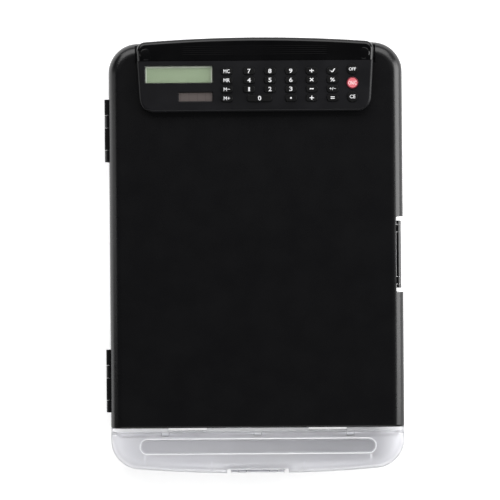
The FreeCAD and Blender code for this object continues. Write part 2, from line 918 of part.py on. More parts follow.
def jaw_grip():
    """Soft strip under the front edge that presses on the paper."""
    y0 = clip_front_y + jaw_front_inset
    return box(-jaw_half_length, jaw_half_length, y0, y0 + jaw_width, top_z + jaw_clearance, lever_z)


# Calculator


def key_table():
    """Every key with its name, place and size, from the four rows of the keypad."""
    columns = [key_column_x + index * key_column_pitch for index in range(5)]
    rows = [key_row_y - index * key_row_pitch for index in range(4)]
    digits = (("7", "8", "9"), ("4", "5", "6"), ("1", "2", "3"))
    memory = ("mc", "mr", "m_minus", "m_plus")
    operators = ("divide", "multiply", "minus", "plus")
    functions = ("root", "percent", "sign", "equals")
    keys = []

    def add(name, x, y, length=key_length):
        keys.append(Key("key_" + name, x, y, length, key_width, key_corner_radius))

    for row, names in zip(rows, digits):
        for x, name in zip(columns, names):
            add(name, x, row)
    add("0", (columns[0] + columns[1]) / 2, rows[3], zero_key_length)
    add("point", columns[2], rows[3])
    named_columns = (
        (columns[0] - memory_column_gap, memory), (columns[3], operators), (columns[4], functions)
    )
    for x, names in named_columns:
        for row, name in zip(rows, names):
            add(name, x, row)
    round_keys = (("off", round_key_radius), ("on_clear", on_key_radius), ("clear_entry", round_key_radius))
    for index, (name, radius) in enumerate(round_keys):
        y = round_row_y - index * round_row_pitch
        keys.append(Key("key_" + name, round_column_x, y, radius * 2, radius * 2, radius))
    return keys


def key_prism(key, margin, z0, z1):
    """A key's outline with a margin, as a block; round keys are cylinders."""
    if key.length == key.corner * 2:
        return rod_z(key.corner + margin, z0, z1, key.x, key.y)
    length = key.length + margin * 2
    width = key.width + margin * 2
    return rounded_plate(key.x, key.y, length, width, key.corner + margin, z0, z1)


def key_cap(key):
    """A key: the cap that shows and the flange that holds it under the face."""
    top = calc_top_z + key_rise
    z1 = face_under_z - layer_gap
    z0 = z1 - key_flange_thickness
    cap = fillet(key_prism(key, 0, z0, top), key_top_radius, lambda edge: lies_at(edge, "Z", top))
    return cap.fuse(key_prism(key, key_flange, z0, z1)).removeSplitter()


def sunk_opening(x, y, length, width):
    """A window opening in the face with slanted sides."""
    z0 = face_under_z - overrun
    hole = box(x - length / 2, x + length / 2, y - width / 2, y + width / 2, z0, calc_top_z)
    grow = opening_bevel
    low = plan_rectangle(x, y, length, width, face_under_z)
    high = plan_rectangle(x, y, length + grow * 2, width + grow * 2, calc_top_z)
    return hole.fuse(Part.makeLoft([low, high], True, True))


def plan_rectangle(x, y, length, width, z):
    corners = [(-1, -1), (1, -1), (1, 1), (-1, 1), (-1, -1)]
    return Part.makePolygon([FreeCAD.Vector(x + u * length / 2, y + v * width / 2, z) for u, v in corners])


def calculator_case():
    """Charcoal shell of the calculator with its openings, screw bosses and round edges."""
    back_y = seam_y - seam_gap
    outer = clip_block(0, plate_top_z, calc_top_z).common(below_y(back_y))
    outer = fillet(
        outer, calc_edge_radius,
        lambda edge: lies_at(edge, "Z", calc_top_z) and not lies_at(edge, "Y", back_y)
    )
    hollow = clip_block(calc_wall, plate_top_z - overrun, face_under_z).common(below_y(back_y - calc_wall))
    bosses = [rod_z(boss_radius, plate_top_z, face_under_z, x, screw_y) for x in screw_places()]
    case = outer.cut(hollow).fuse(bosses)
    top = plate_top_z - lever_plate_thickness + screw_head_height + screw_length
    cuts = [rod_z(screw_radius + pin_clearance, plate_top_z, top, x, screw_y) for x in screw_places()]
    hole_z = (face_under_z - overrun, calc_top_z + overrun)
    cuts += [key_prism(key, key_clearance, *hole_z) for key in key_table()]
    cuts.append(sunk_opening(display_centre_x, display_centre_y, display_length, display_width))
    cuts.append(sunk_opening(solar_centre_x, solar_centre_y, solar_length, solar_width))
    return case.cut(cuts)


def plate_behind(x, y, length, width, margin, top, thickness):
    """A flat piece behind an opening, larger than it by the margin."""
    half_x = length / 2 + margin
    half_y = width / 2 + margin
    return box(x - half_x, x + half_x, y - half_y, y + half_y, top - thickness, top)


def display_window():
    top = face_under_z - layer_gap
    return plate_behind(
        display_centre_x, display_centre_y, display_length, display_width,
        window_margin, top, window_thickness
    )


def display_panel():
    top = face_under_z - window_thickness - layer_gap * 2
    return plate_behind(
        display_centre_x, display_centre_y, display_length, display_width,
        window_margin / 2, top, panel_thickness
    )


def solar_cell():
    top = face_under_z - layer_gap
    return plate_behind(
        solar_centre_x, solar_centre_y, solar_length, solar_width, solar_margin, top, solar_thickness
    )


def circuit_board():
    """Printed board that lies on the lever plate under everything else."""
    half = clip_half_front - board_side_inset
    z0 = plate_top_z + layer_gap
    y0 = clip_front_y + board_front_inset
    y1 = seam_y - seam_gap - calc_wall - layer_gap
    return box(-half, half, y0, y1, z0, z0 + board_sheet_thickness)


def board_top_z():
    return plate_top_z + layer_gap + board_sheet_thickness


def key_mat():
    """Rubber mat with a dome under each key."""
    keys = key_table()
    x0 = min(key.x - key.length / 2 for key in keys)
    x1 = max(key.x + key.length / 2 for key in keys)
    y0 = clip_front_y + board_front_inset
    y1 = seam_y - seam_gap - calc_wall - layer_gap
    z0 = board_top_z()
    z1 = z0 + mat_thickness
    mat = box(x0, x1, y0, y1, z0, z1)
    domes = [Part.makeCone(dome_radius, dome_radius / 2, dome_height, FreeCAD.Vector(key.x, key.y, z1))
             for key in keys]
    return mat.fuse(domes)


def button_cell():
    z0 = board_top_z()
    return rod_z(cell_radius, z0, z0 + cell_thickness, cell_x, cell_y)


def clip_screws():
    """Four screws that hold the calculator on the lever plate."""
    screws = []
    for x in screw_places():
        head_top = lever_z + screw_head_height
        head = rod_z(screw_head_radius, lever_z, head_top, x, screw_y)
        shank = rod_z(screw_radius, lever_z, head_top + screw_length, x, screw_y)
        screws.append(head.fuse(shank))
    return Part.makeCompound(screws)


def all_parts():
    """Every sub-part under its node's name."""
    parts = {
        "base_tray": base_tray(),
        "front_cover": front_cover(),
        "pen_lid": pen_lid(),
        "pen_lid_pins": lid_pins(),
        "main_latch": latch_flap(main_latch_sizes),
        "main_latch_pin": latch_pin(main_latch_sizes),
        "pen_latch": across_end(latch_flap(pen_latch_sizes)),
        "pen_latch_pin": across_end(latch_pin(pen_latch_sizes)),
        "clip_lever": clip_lever(),
        "clip_axle": clip_axle(),
        "clip_springs": clip_springs(),
        "jaw_grip": jaw_grip(),
        "calculator_case": calculator_case(),
        "display_window": display_window(),
        "display_panel": display_panel(),
        "solar_cell": solar_cell(),
        "circuit_board": circuit_board(),
        "key_mat": key_mat(),
        "button_cell": button_cell(),
        "clip_screws": clip_screws(),
    }
    for name, y in zip(("upper", "lower"), hinge_places):
        parts[name + "_hinge_leaf"] = hinge_leaf(y)
        parts[name + "_hinge_pin"] = hinge_pin(y)
    for key in key_table():
        parts[key.name] = key_cap(key)
    return parts


os.makedirs("parts", exist_ok=True)
for node, shape in all_parts().items():
    shape.exportStep(os.path.join("parts", node + ".step"))
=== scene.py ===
# %% [markdown]
# # A storage clipboard box with a calculator in its clip
#
# The object is a flat box of two compartments. A black writing board closes the paper compartment, a
# frosted lid closes the pen compartment, and the clip carries a small calculator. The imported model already
# has every solid in its place. This script gives those solids their finishes, adds what a solid model
# leaves out, such as the print on the keys, and sets up the floor, the lamps and the camera.
#
# Lengths are in metres. The back of the box lies on z = 0, the clip is towards +y, and the hinges of the
# board are at -x.

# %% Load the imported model
import math

import bpy
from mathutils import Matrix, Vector


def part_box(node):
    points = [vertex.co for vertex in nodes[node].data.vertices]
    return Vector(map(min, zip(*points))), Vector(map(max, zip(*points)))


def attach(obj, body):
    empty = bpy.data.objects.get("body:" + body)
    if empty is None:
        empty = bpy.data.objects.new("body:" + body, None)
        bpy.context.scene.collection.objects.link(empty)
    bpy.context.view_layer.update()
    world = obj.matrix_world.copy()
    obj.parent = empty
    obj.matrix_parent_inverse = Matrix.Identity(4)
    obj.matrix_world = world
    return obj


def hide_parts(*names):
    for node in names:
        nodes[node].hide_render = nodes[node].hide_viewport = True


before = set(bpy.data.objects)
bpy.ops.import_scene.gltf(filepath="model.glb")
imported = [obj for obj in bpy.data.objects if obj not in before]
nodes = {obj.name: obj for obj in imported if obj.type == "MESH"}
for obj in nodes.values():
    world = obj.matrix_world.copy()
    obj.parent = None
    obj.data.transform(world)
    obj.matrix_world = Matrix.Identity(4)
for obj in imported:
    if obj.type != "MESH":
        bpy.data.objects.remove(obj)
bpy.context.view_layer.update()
mm = 0.001
print("packed solids:", len(nodes))

# %% [markdown]
# ## Colours and shader nodes
#
# Colours are easiest to pick as the hex values of a paint program, which are sRGB. Shaders count in linear
# light, so one function turns the one into the other. A second function adds a node with its settings and
# links in one call. With both, each material reads like a recipe.


# %% Two helpers for materials
def linear(hex_colour, alpha=1.0):
    """Turns an sRGB hex colour such as "8A8F94" into the linear values of a shader socket."""
    channels = [int(hex_colour[i:i + 2], 16) / 255 for i in (0, 2, 4)]
    return [c / 12.92 if c <= 0.04045 else ((c + 0.055) / 1.055) ** 2.4 for c in channels] + [alpha]


def add_node(tree, kind, values=None, links=None, **settings):
    """Adds a node, sets its options and socket values, and links sockets of earlier nodes to it."""
    node = tree.nodes.new(kind)
    for name, value in settings.items():
        setattr(node, name, value)
    for name, value in (values or {}).items():
        node.inputs[name].default_value = value
    for name, source in (links or {}).items():
        tree.links.new(source, node.inputs[name])
    return node


print("mid grey in linear light:", round(linear("808080")[0], 3))

# %% [markdown]
# ## What every material does
#
# Each material starts as one Principled shader whose constants stand on its own sockets. Its patterns read
# Object coordinates, because every piece has its place in its mesh and they then lie still on it. Three
# steps are needed more than once: a colour that goes from one tone to another along a pattern, a tint where
# a mask is 1, and a relief that is stacked from bumps with depths in real millimetres.


# %% Steps that materials share
def new_material(name, **sockets):
    """A material with one Principled shader, whose constants are set on its own sockets."""
    material = bpy.data.materials.new(name)
    material.use_nodes = True
    tree = material.node_tree
    shader = tree.nodes["Principled BSDF"]
    for socket, value in sockets.items():
        shader.inputs[socket.replace("_", " ")].default_value = value
    where = add_node(tree, "ShaderNodeTexCoord").outputs["Object"]
    return material, tree, shader, where


def two_tones(tree, shader, pattern, dark, light):
    """Colours a shader from one hex colour to another along a pattern."""
    tones = {6: linear(dark), 7: linear(light)}
    mix = add_node(tree, "ShaderNodeMix", tones, {0: pattern}, data_type="RGBA")
    tree.links.new(mix.outputs[2], shader.inputs["Base Color"])


def tint(tree, shader, mask, hex_colour):
    """Turns a shader's colour into another one where the mask is 1."""
    untinted = shader.inputs["Base Color"].links[0].from_socket
    mix = add_node(tree, "ShaderNodeMix", {7: linear(hex_colour)}, {0: mask, 6: untinted}, data_type="RGBA")
    tree.links.new(mix.outputs[2], shader.inputs["Base Color"])


def raise_grain(tree, shader, layers):
    """Stacks bumps, each a pattern with the depth of its relief in millimetres."""
    normal = None
    for pattern, depth_mm in layers:
        links = {"Height": pattern}
        if normal:
            links["Normal"] = normal
        values = {"Distance": depth_mm * mm, "Strength": 1.0}
        normal = add_node(tree, "ShaderNodeBump", values, links).outputs["Normal"]
    tree.links.new(normal, shader.inputs["Normal"])


noise_middle = {"From Min": 0.3, "From Max": 0.7}
print("most of a noise lies between", noise_middle["From Min"], "and", noise_middle["From Max"])

# %% [markdown]
# ## A recipe for moulded plastic
#
# Most of the box is injection moulded. The steel of the mould leaves its own surface on the plastic: a
# spark-eroded mould gives a fine grain, a polished one a gloss with a slight waviness, and hands add faint
# smudges. So one recipe has smudges in its colour, a finer pattern in its roughness, and a slow wave and a
# grain in its relief, and each plastic picks how much of each it shows. A noise has blobs of about its
# size, so the size of each layer is given in millimetres, with the detail of the noise beside it.


# %% The moulded plastic recipe
def moulded_plastic(name, dark, light, roughness, grain_mm, grain_depth_mm, wave_depth_mm=0.0, **sockets):
    """Moulded plastic between two tones, with a roughness range and the relief of its mould."""
    material, tree, shader, where = new_material(name, **sockets)
    layers = {
        "smudge": (smudge_size_mm, 4.0), "gloss": (smudge_size_mm / 2, 5.0),
        "grain": (grain_mm, 2.0), "wave": (wave_size_mm, 1.0),
    }
    pattern = {}
    for layer, (size_mm, detail) in layers.items():
        values = {"Scale": 1 / (size_mm * mm), "Detail": detail}
        pattern[layer] = add_node(tree, "ShaderNodeTexNoise", values, {"Vector": where}).outputs["Fac"]
    tone = add_node(tree, "ShaderNodeMapRange", noise_middle, {"Value": pattern["smudge"]})
    two_tones(tree, shader, tone.outputs["Result"], dark, light)
    between = {**noise_middle, "To Min": roughness[0], "To Max": roughness[1]}
    rough = add_node(tree, "ShaderNodeMapRange", between, {"Value": pattern["gloss"]})
    tree.links.new(rough.outputs["Result"], shader.inputs["Roughness"])
    raise_grain(tree, shader, [(pattern["wave"], wave_depth_mm), (pattern["grain"], grain_depth_mm)])
    return material


smudge_size_mm = 45.0
wave_size_mm = 24.0
print("smudges are", smudge_size_mm, "mm wide, mould waves", wave_size_mm, "mm")

# %% [markdown]
# ## Black and charcoal plastics
#
# The board and its latch are black ABS from a finely eroded mould: a satin black that shows a broad, weak
# reflection. The lever of the clip is the same plastic from a polished mould, and the calculator case has a
# coarser, greyer grain. The black keys are matt, the red one is satin, and the leaves of the hinges are a
# matt nylon that wears well. The real grain is about 0.1 mm wide, which a picture of the whole box can't
# show, so it is drawn a few times wider.

# %% Black and charcoal plastics
finish = {}
finish["black_plastic"] = moulded_plastic(
    "satin_black_abs", "070709", "09090B", (0.26, 0.29), grain_mm=0.55, grain_depth_mm=0.006,
    wave_depth_mm=0.02, IOR=1.5
)
polished_mirroring = 0.32
finish["gloss_black_plastic"] = moulded_plastic(
    "polished_black_abs", "050506", "080809", (0.14, 0.22), grain_mm=0.8, grain_depth_mm=0.002,
    wave_depth_mm=0.03, IOR=1.53, Specular_IOR_Level=polished_mirroring
)
finish["charcoal_plastic"] = moulded_plastic(
    "eroded_charcoal_abs", "0E0E10", "131316", (0.36, 0.44), grain_mm=0.6, grain_depth_mm=0.012,
    IOR=1.5, Specular_IOR_Level=0.25
)
finish["black_key"] = moulded_plastic(
    "matt_black_key_abs", "030303", "060607", (0.44, 0.5), grain_mm=0.7, grain_depth_mm=0.002,
    IOR=1.5, Specular_IOR_Level=0.25
)
finish["red_key"] = moulded_plastic(
    "satin_red_key_abs", "6E1E2A", "7C2834", (0.36, 0.42), grain_mm=0.7, grain_depth_mm=0.002,
    IOR=1.5
)
hinge_nylon = moulded_plastic(
    "matt_black_nylon", "040405", "070708", (0.6, 0.7), grain_mm=0.5, grain_depth_mm=0.01,
    IOR=1.5, Specular_IOR_Level=0.15
)
print("black and charcoal finishes:", sorted(finish), "and", hinge_nylon.name)

# %% [markdown]
# ## Frosted plastic
#
# The tray, the pen lid and its latch are polypropylene with no pigment. The plastic itself lets light
# through but scatters it, so what lies behind shows only as a soft light or dark. The shader sends most of
# the light through with a rough transmission. Its index is lower than the 1.49 of the plastic, since both
# faces of a thin wall bend the light back, and the solid here is seen as one thick piece.

# %% Frosted plastic
sent_by_thin_wall = 0.9
frosted_look = dict(
    dark="F9F9FC", light="FCFCFE", roughness=(0.3, 0.36), grain_mm=0.7, grain_depth_mm=0.004,
    wave_depth_mm=0.03, IOR=1.3, Transmission_Weight=sent_by_thin_wall
)
finish["frosted_plastic"] = moulded_plastic("frosted_polypropylene", **frosted_look)
print("frosted finish:", finish["frosted_plastic"].name)

# %% [markdown]
# The lid of the pen compartment has a finish of its own, with painted highlights and painted shade. Along
# the raised rim of the pen groove and on the four short ribs at its front it sends less light through and
# looks whiter: painted highlights. The floor of the groove, which lies deeper, is painted greyer, and beside
# the rim a weaker painted grey fades out with the distance: painted shade.
#
# So two measures are needed. One tells whether a place lies in a box, for the ribs. The other is the
# distance to the middle line of the groove, which gives the rim, the floor and the fading grey. The lid is
# the same on the left and the right, so both fold it over its middle with absolute values.


# %% Where a place lies
def in_box(tree, place, middle_mm, half_mm):
    """1 where a place lies in a box given by its middle and half sizes in millimetres, else 0."""
    scale = tuple(1 / (half * mm) for half in half_mm)
    back = tuple(-centre / half for centre, half in zip(middle_mm, half_mm))
    values = {"Location": back, "Scale": scale}
    moved = add_node(tree, "ShaderNodeMapping", values, {"Vector": place}).outputs["Vector"]
    away = add_node(tree, "ShaderNodeVectorMath", links={0: moved}, operation="ABSOLUTE").outputs[0]
    axes = add_node(tree, "ShaderNodeSeparateXYZ", links={"Vector": away}).outputs
    flat = add_node(tree, "ShaderNodeMath", links={0: axes["X"], 1: axes["Y"]}, operation="MAXIMUM")
    most = add_node(tree, "ShaderNodeMath", links={0: flat.outputs[0], 1: axes["Z"]}, operation="MAXIMUM")
    inside = add_node(tree, "ShaderNodeMath", {1: 1.0}, {0: most.outputs[0]}, operation="LESS_THAN")
    return inside.outputs[0]


def to_groove_line(tree, where):
    """Distance in the picture plane to the middle line of the pen groove, in metres."""
    values = {"Location": (0, -groove_y, 0), "Scale": (1, 1, 0)}
    moved = add_node(tree, "ShaderNodeMapping", values, {"Vector": where}).outputs["Vector"]
    folded = add_node(tree, "ShaderNodeVectorMath", links={0: moved}, operation="ABSOLUTE").outputs[0]
    end = {1: (groove_half_line, 0, 0)}
    past = add_node(tree, "ShaderNodeVectorMath", end, {0: folded}, operation="SUBTRACT").outputs[0]
    kept = add_node(tree, "ShaderNodeVectorMath", {1: (0, 0, 0)}, {0: past}, operation="MAXIMUM").outputs[0]
    length = add_node(tree, "ShaderNodeVectorMath", links={0: kept}, operation="LENGTH")
    return length.outputs["Value"]


groove_y = -160.7 * mm
groove_half_line = 93.3 * mm
groove_half_width = 5.9 * mm
rim_width = 1.0 * mm
print("groove is", round(2 * groove_half_width / mm, 1), "mm wide")

# %% The lid's painted highlights and painted shade
lid_plastic = moulded_plastic("frosted_polypropylene_lid", **frosted_look)
tree = lid_plastic.node_tree
shader = tree.nodes["Principled BSDF"]
where = add_node(tree, "ShaderNodeTexCoord").outputs["Object"]
from_line = to_groove_line(tree, where)

# Painted highlights: on the rim of the groove and on the ribs the lid sends less light through and looks
# whiter; thick is the mask of these places.
rim_place = {1: groove_half_width + rim_width / 2, 2: rim_width / 2}
thick = add_node(tree, "ShaderNodeMath", rim_place, {0: from_line}, operation="COMPARE").outputs[0]
folded = add_node(tree, "ShaderNodeVectorMath", links={0: where}, operation="ABSOLUTE").outputs[0]
inner_rib_mm = (39.0, 177.9, 27.0)
outer_rib_mm = (95.4, 172.4, 27.0)
rib_half_mm = (0.85, 4.8, 2.0)
for rib_mm in (inner_rib_mm, outer_rib_mm):
    on_rib = in_box(tree, folded, rib_mm, rib_half_mm)
    thick = add_node(tree, "ShaderNodeMath", links={0: thick, 1: on_rib}, operation="MAXIMUM").outputs[0]
sent_at_painted_highlights = 0.1
sent = {"To Min": sent_by_thin_wall, "To Max": sent_at_painted_highlights}
sent_through = add_node(tree, "ShaderNodeMapRange", sent, {"Value": thick}).outputs["Result"]
tree.links.new(sent_through, shader.inputs["Transmission Weight"])

# Painted shade: the floor of the groove is tinted grey, and beside the rim a weaker grey fades out with the
# distance, except on the painted highlights.
floor_of_groove = {1: groove_half_width}
painted_groove_shade = add_node(tree, "ShaderNodeMath", floor_of_groove, {0: from_line}, operation="LESS_THAN").outputs[0]
fading = {"From Min": 7.0 * mm, "From Max": 21.0 * mm, "To Min": 0.5, "To Max": 0.0}
painted_shade_beside_rim = add_node(tree, "ShaderNodeMapRange", fading, {"Value": from_line}).outputs["Result"]
thin = add_node(tree, "ShaderNodeMath", {0: 1.0}, {1: thick}, operation="SUBTRACT").outputs[0]
grey = add_node(tree, "ShaderNodeMath", links={0: painted_groove_shade, 1: painted_shade_beside_rim}, operation="MAXIMUM").outputs[0]
painted_shade_mask = add_node(tree, "ShaderNodeMath", links={0: grey, 1: thin}, operation="MULTIPLY").outputs[0]
tint(tree, shader, painted_shade_mask, "D9D9DC")
print("lid finish:", lid_plastic.name)

# %% [markdown]
# The press bar has a field of fine ribs for the thumb. Their insert in the mould is not polished, so there
# the lever is matt and mirrors less.

# %% The matt ribs of the press bar
tree = finish["gloss_black_plastic"].node_tree
shader = tree.nodes["Principled BSDF"]
where = add_node(tree, "ShaderNodeTexCoord").outputs["Object"]
press_ribs_mm = (0.0, 173.0, 29.0)
press_ribs_half_mm = (61.2, 4.2, 8.0)
on_ribs = in_box(tree, where, press_ribs_mm, press_ribs_half_mm)
matt_mirroring = 0.1
mirroring = {"To Min": polished_mirroring, "To Max": matt_mirroring}
less = add_node(tree, "ShaderNodeMapRange", mirroring, {"Value": on_ribs}).outputs["Result"]
tree.links.new(less, shader.inputs["Specular IOR Level"])
print("matt ribs on:", finish["gloss_black_plastic"].name)

# %% [markdown]
# ## Metals
#
# Pins, springs and screws are steel wire and turned steel. Drawing and turning leave fine lines, so the
# roughness and a weak bump follow a noise that is stretched into lines. Metallic is 1, and the colour is
# that of the metal.


# %% Metals
def drawn_steel(name, colour, stretch, roughness):
    """Bare metal with drawing lines: a noise stretched by the factors along x, y and z."""
    material, tree, shader, where = new_material(name, Base_Color=linear(colour), Metallic=1.0)
    along = add_node(tree, "ShaderNodeMapping", {"Scale": stretch}, {"Vector": where}).outputs["Vector"]
    values = {"Scale": 1 / (line_width_mm * mm), "Detail": 2.0}
    lines = add_node(tree, "ShaderNodeTexNoise", values, {"Vector": along}).outputs["Fac"]
    between = {**noise_middle, "To Min": roughness[0], "To Max": roughness[1]}
    rough = add_node(tree, "ShaderNodeMapRange", between, {"Value": lines}).outputs["Result"]
    tree.links.new(rough, shader.inputs["Roughness"])
    raise_grain(tree, shader, [(lines, line_depth_mm)])
    return material


line_width_mm = 0.3
line_depth_mm = 0.004
finish["steel"] = drawn_steel("drawn_steel", "B9BABC", (0.05, 1.0, 1.0), (0.22, 0.36))
nickel = drawn_steel("nickel_plated_steel", "C9C6BE", (1.0, 1.0, 0.1), (0.16, 0.26))
print("metals:", finish["steel"].name, nickel.name)

# %% [markdown]
# ## Rubbers
#
# The strip in the jaw of the clip is black soft rubber, and the mat under the keys is grey silicone. Both
# are matt with a fine powdery grain. Silicone also lets a little light in, which subsurface scattering
# gives.

# %% Rubbers
finish["soft_rubber"] = moulded_plastic(
    "matt_black_rubber", "101011", "18181A", (0.7, 0.85), grain_mm=0.5, grain_depth_mm=0.03, IOR=1.52
)
finish["silicone_rubber"] = moulded_plastic(
    "grey_silicone", "8C9296", "9BA1A5", (0.55, 0.7), grain_mm=0.6, grain_depth_mm=0.01, IOR=1.41,
    Subsurface_Weight=0.3, Subsurface_Scale=2.0 * mm
)
print("rubbers:", finish["soft_rubber"].name, finish["silicone_rubber"].name)

# %% [markdown]
# ## Display and window
#
# A liquid crystal panel that is switched off is a flat sage green with a slight shift from edge to edge.
# Its glass edge catches light at the top and the left, so a paler border is drawn there. The window over
# it is clear acrylic.

# %% Display and window
finish["display_glass"] = moulded_plastic(
    "sage_liquid_crystal_glass", "91A386", "9AA98E", (0.3, 0.36), grain_mm=1.5, grain_depth_mm=0.0,
    IOR=1.52
)
tree = finish["display_glass"].node_tree
where = add_node(tree, "ShaderNodeTexCoord").outputs["Object"]
flat_panel_mm = (-64.3, 151.9, 35.0)
flat_panel_half_mm = (27.0, 6.5, 5.0)
on_panel = in_box(tree, where, flat_panel_mm, flat_panel_half_mm)
on_edge = add_node(tree, "ShaderNodeMath", {0: 1.0}, {1: on_panel}, operation="SUBTRACT").outputs[0]
tint(tree, tree.nodes["Principled BSDF"], on_edge, "C9D1C2")
finish["clear_window"] = moulded_plastic(
    "clear_acrylic", "F6F8F6", "FFFFFF", (0.02, 0.05), grain_mm=2.0, grain_depth_mm=0.001,
    IOR=1.49, Transmission_Weight=1.0, Alpha=0.12
)
print("display finishes:", finish["display_glass"].name, finish["clear_window"].name)

# %% [markdown]
# ## Solar cell and circuit board
#
# The solar cell is a thin film of amorphous silicon, brown, with fine darker lines between its cells. The
# circuit board is green laminate with lighter copper tracks under the lacquer. Both patterns are stripes:
# the place along one axis is divided by the pitch, and the fraction that is left tells line from gap.


# %% Solar cell and circuit board
def stripes(tree, where, axis, pitch_mm, share):
    """Thin lines across an axis, 1 on the line and 0 between, from the pitch and the line's share."""
    place = add_node(tree, "ShaderNodeSeparateXYZ", links={"Vector": where}).outputs[axis]
    turns = add_node(tree, "ShaderNodeMath", {1: 1 / (pitch_mm * mm)}, {0: place}, operation="MULTIPLY")
    part = add_node(tree, "ShaderNodeMath", links={0: turns.outputs[0]}, operation="FRACT")
    line = add_node(tree, "ShaderNodeMath", {1: share}, {0: part.outputs[0]}, operation="LESS_THAN")
    return line.outputs[0]


film_grain_mm = 0.6
film_depth_mm = 0.002
weave_grain_mm = 0.5
weave_depth_mm = 0.004
copper_mm = 0.035
solar, tree, shader, where = new_material("brown_silicon_film", IOR=1.5, Roughness=0.3)
lines_between_cells = stripes(tree, where, "X", pitch_mm=7.0, share=0.06)
two_tones(tree, shader, lines_between_cells, "5C5553", "4E4746")
film_values = {"Scale": 1 / (film_grain_mm * mm), "Detail": 2.0}
film = add_node(tree, "ShaderNodeTexNoise", film_values, {"Vector": where})
raise_grain(tree, shader, [(film.outputs["Fac"], film_depth_mm)])
finish["solar_film"] = solar

laminate, tree, shader, where = new_material("green_glass_laminate", IOR=1.55, Roughness=0.35)
tracks = stripes(tree, where, "Y", pitch_mm=1.6, share=0.4)
two_tones(tree, shader, tracks, "1B5B3A", "2B7A4E")
weave_values = {"Scale": 1 / (weave_grain_mm * mm), "Detail": 2.0}
weave = add_node(tree, "ShaderNodeTexNoise", weave_values, {"Vector": where})
raise_grain(tree, shader, [(tracks, copper_mm), (weave.outputs["Fac"], weave_depth_mm)])
finish["circuit_laminate"] = laminate
print("thin layers:", solar.name, laminate.name)

# %% [markdown]
# ## Each solid gets its finish
#
# The imported record names a material slot for every node, and the import keeps it as the name of the node's
# material. So one loop gives every solid the finish of its slot. Three kinds of piece differ from the rest
# of their slot: the button cell is plated, the pen lid has its painted highlights and painted shade, and the
# leaves of the hinges are nylon.

# %% Give the finishes to the solids
for name, solid in sorted(nodes.items()):
    slot_name = solid.data.materials[0].name.split(".")[0]
    solid.data.materials.clear()
    solid.data.materials.append(finish[slot_name])
nodes["button_cell"].data.materials[0] = nickel
nodes["pen_lid"].data.materials[0] = lid_plastic
for leaf_name in ("upper_hinge_leaf", "lower_hinge_leaf"):
    nodes[leaf_name].data.materials[0] = hinge_nylon
print("solids with a finish:", len(nodes))

# %% [markdown]
# ## The print on the keys
#
# Each key carries a legend, pad-printed on its flat top: white on the black keys and pale on the red one.
# The print is real geometry here: a text is typed, given a little thickness, turned into a mesh, and scaled
# to the printed size. That keeps the edges sharp at any distance, where a pattern in a material would need
# an image. Each legend rides on its key, so it goes down with it.

# %% Print finish and one legend
white_print = moulded_plastic(
    "white_pad_print", "E6E6E8", "F4F4F5", (0.45, 0.6), grain_mm=0.5, grain_depth_mm=0.002, IOR=1.5
)
red_print = moulded_plastic(
    "pale_pad_print", "F6DCDC", "FAE6E6", (0.45, 0.6), grain_mm=0.5, grain_depth_mm=0.002, IOR=1.5
)
print_thickness = 0.02 * mm
print_sink = 0.01 * mm
same_point = 0.002 * mm


def key_legend(key, words, width_mm, height_mm):
    """Prints words on a key, as wide and high as given, centred on its top."""
    low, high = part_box("key_" + key)
    bpy.ops.object.select_all(action="DESELECT")
    bpy.ops.object.text_add(location=(0, 0, 0))
    legend = bpy.context.object
    legend.name = "legend_" + key
    legend.data.body = words
    legend.data.size = 1.0
    legend.data.offset = legend_boldness
    legend.data.resolution_u = 4
    legend.data.extrude = 0.5
    bpy.ops.object.convert(target="MESH")
    corners = [Vector(corner) for corner in legend.bound_box]
    start = Vector([min(c[i] for c in corners) for i in range(3)])
    size = Vector([max(c[i] for c in corners) for i in range(3)]) - start
    wanted = Vector((width_mm * mm, height_mm * mm, print_thickness + print_sink))
    scale = Vector([wanted[i] / size[i] for i in range(3)])
    middle = start + size / 2
    legend.scale = scale
    lift = print_thickness if key == "on_clear" else 0.0
    top = high.z + lift + (print_thickness - print_sink) / 2
    place = Vector(((low.x + high.x) / 2, (low.y + high.y) / 2, top))
    legend.location = place - Vector([middle[i] * scale[i] for i in range(3)])
    bpy.ops.object.transform_apply(location=True, rotation=True, scale=True)
    bpy.ops.object.mode_set(mode="EDIT")
    bpy.ops.mesh.select_all(action="SELECT")
    bpy.ops.mesh.remove_doubles(threshold=same_point)
    bpy.ops.mesh.normals_make_consistent(inside=False)
    bpy.ops.object.mode_set(mode="OBJECT")
    legend.data.materials.clear()
    legend.data.materials.append(red_print if key == "on_clear" else white_print)
    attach(legend, "key_" + key)
    return legend


legend_boldness = 0.015
print("print is", print_thickness / mm, "mm thick")

# %% [markdown]
# The printed sizes differ from sign to sign, so each entry gives the words with their width and height in
# millimetres.

# %% All legends
legend_sizes = {
    "7": ("7", 2.7, 3.6), "8": ("8", 2.8, 3.6), "9": ("9", 2.8, 3.6),
    "4": ("4", 3.0, 3.6), "5": ("5", 2.7, 3.6), "6": ("6", 2.8, 3.6),
    "1": ("1", 1.5, 3.5), "2": ("2", 2.7, 3.6), "3": ("3", 2.7, 3.6),
    "0": ("0", 2.8, 3.9), "point": (".", 1.6, 1.6),
    "divide": ("÷", 3.8, 3.1), "multiply": ("×", 3.3, 3.1),
    "minus": ("−", 3.5, 0.9), "plus": ("+", 3.5, 3.4),
    "root": ("√", 4.6, 3.3), "percent": ("%", 4.0, 3.0),
    "sign": ("+/−", 5.4, 2.5), "equals": ("=", 3.4, 2.0),
    "mc": ("MC", 5.4, 3.1), "mr": ("MR", 5.4, 3.1),
    "m_minus": ("M−", 5.3, 3.0), "m_plus": ("M+", 5.3, 3.0),
    "off": ("OFF", 5.8, 2.7), "on_clear": ("ON/C", 6.9, 3.2), "clear_entry": ("CE", 4.6, 3.0),
}
legends = [key_legend(key, *entry) for key, entry in legend_sizes.items()]
print("legends:", len(legends), "with", sum(len(x.data.polygons) for x in legends), "faces")
